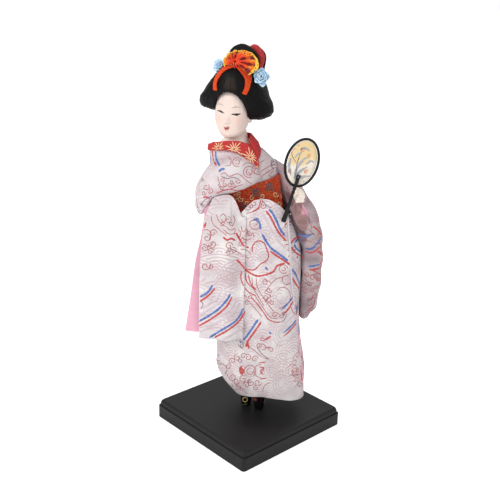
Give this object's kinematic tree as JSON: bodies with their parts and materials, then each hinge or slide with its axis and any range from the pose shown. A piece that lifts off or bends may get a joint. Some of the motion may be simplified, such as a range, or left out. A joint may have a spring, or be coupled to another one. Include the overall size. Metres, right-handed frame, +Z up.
{
  "type": "geisha figurine",
  "caption": "Standing doll of a dancer in a long-sleeved patterned kimono with sash, dressed hair and a round fan, wired to a square black stand.",
  "frame": {"origin": "centre of the stand's flat underside, which is the bottom centre of the whole part", "axes": "+Z up; the stand's sides lie along X and Y, and the doll faces the corner between +X and -Y"},
  "size_m": [0.108, 0.108, 0.306],
  "materials": {
    "stand_black": "black satin lacquer on a wooden board",
    "lacquer": "glossy black lacquer, painted flowers on the clogs",
    "sock_white": "plain white cotton",
    "steel": "bare steel wire",
    "stuffing": "stuffed plain cloth",
    "kimono": "pale lilac satin brocade with thin red and blue waves, scrolls and scales",
    "pink_lining": "plain pink crepe",
    "red_brocade": "red collar cloth with gold chrysanthemum rays",
    "obi_red": "orange-red brocade with gold and dark flowers",
    "skin": "pale pinkish white, satin, painted features",
    "hair": "black combed silk floss",
    "red_cloth": "plain red crepe",
    "orange_cloth": "orange crepe, dyed yellow at its crumpled edges",
    "flower_blue": "pale blue satin ribbon rose",
    "fan_paper": "cream paper with a plain landscape ornament"
  },
  "bodies": {
    "root": {"stand": "stand_black", "clog_left": "lacquer", "clog_right": "lacquer", "foot_left": "sock_white", "foot_right": "sock_white", "leg_wire_left": "steel", "leg_wire_right": "steel", "body_core": "stuffing", "skirt": "kimono", "skirt_front_panel": "kimono", "skirt_piping": "pink_lining", "bodice": "kimono", "collar_front": "red_brocade", "collar_nape": "red_cloth", "obi": "obi_red", "obi_bow": "obi_red", "arm_right": "stuffing", "arm_left": "stuffing", "sleeve_right": "kimono", "sleeve_right_bag": "kimono", "sleeve_right_lining": "pink_lining", "sleeve_left": "kimono", "hand_left": "skin", "fan_ring": "lacquer", "fan_leaf": "fan_paper", "fan_handle": "lacquer", "head": "skin", "wig": "hair", "topknot_front": "hair", "topknot_cloth": "red_cloth", "topknot_back": "hair", "hair_ribbon_left": "orange_cloth", "hair_ribbon_right": "orange_cloth", "hair_bow": "orange_cloth", "hair_flower_left": "flower_blue", "hair_flower_right": "flower_blue"}
  },
  "joints": []
}
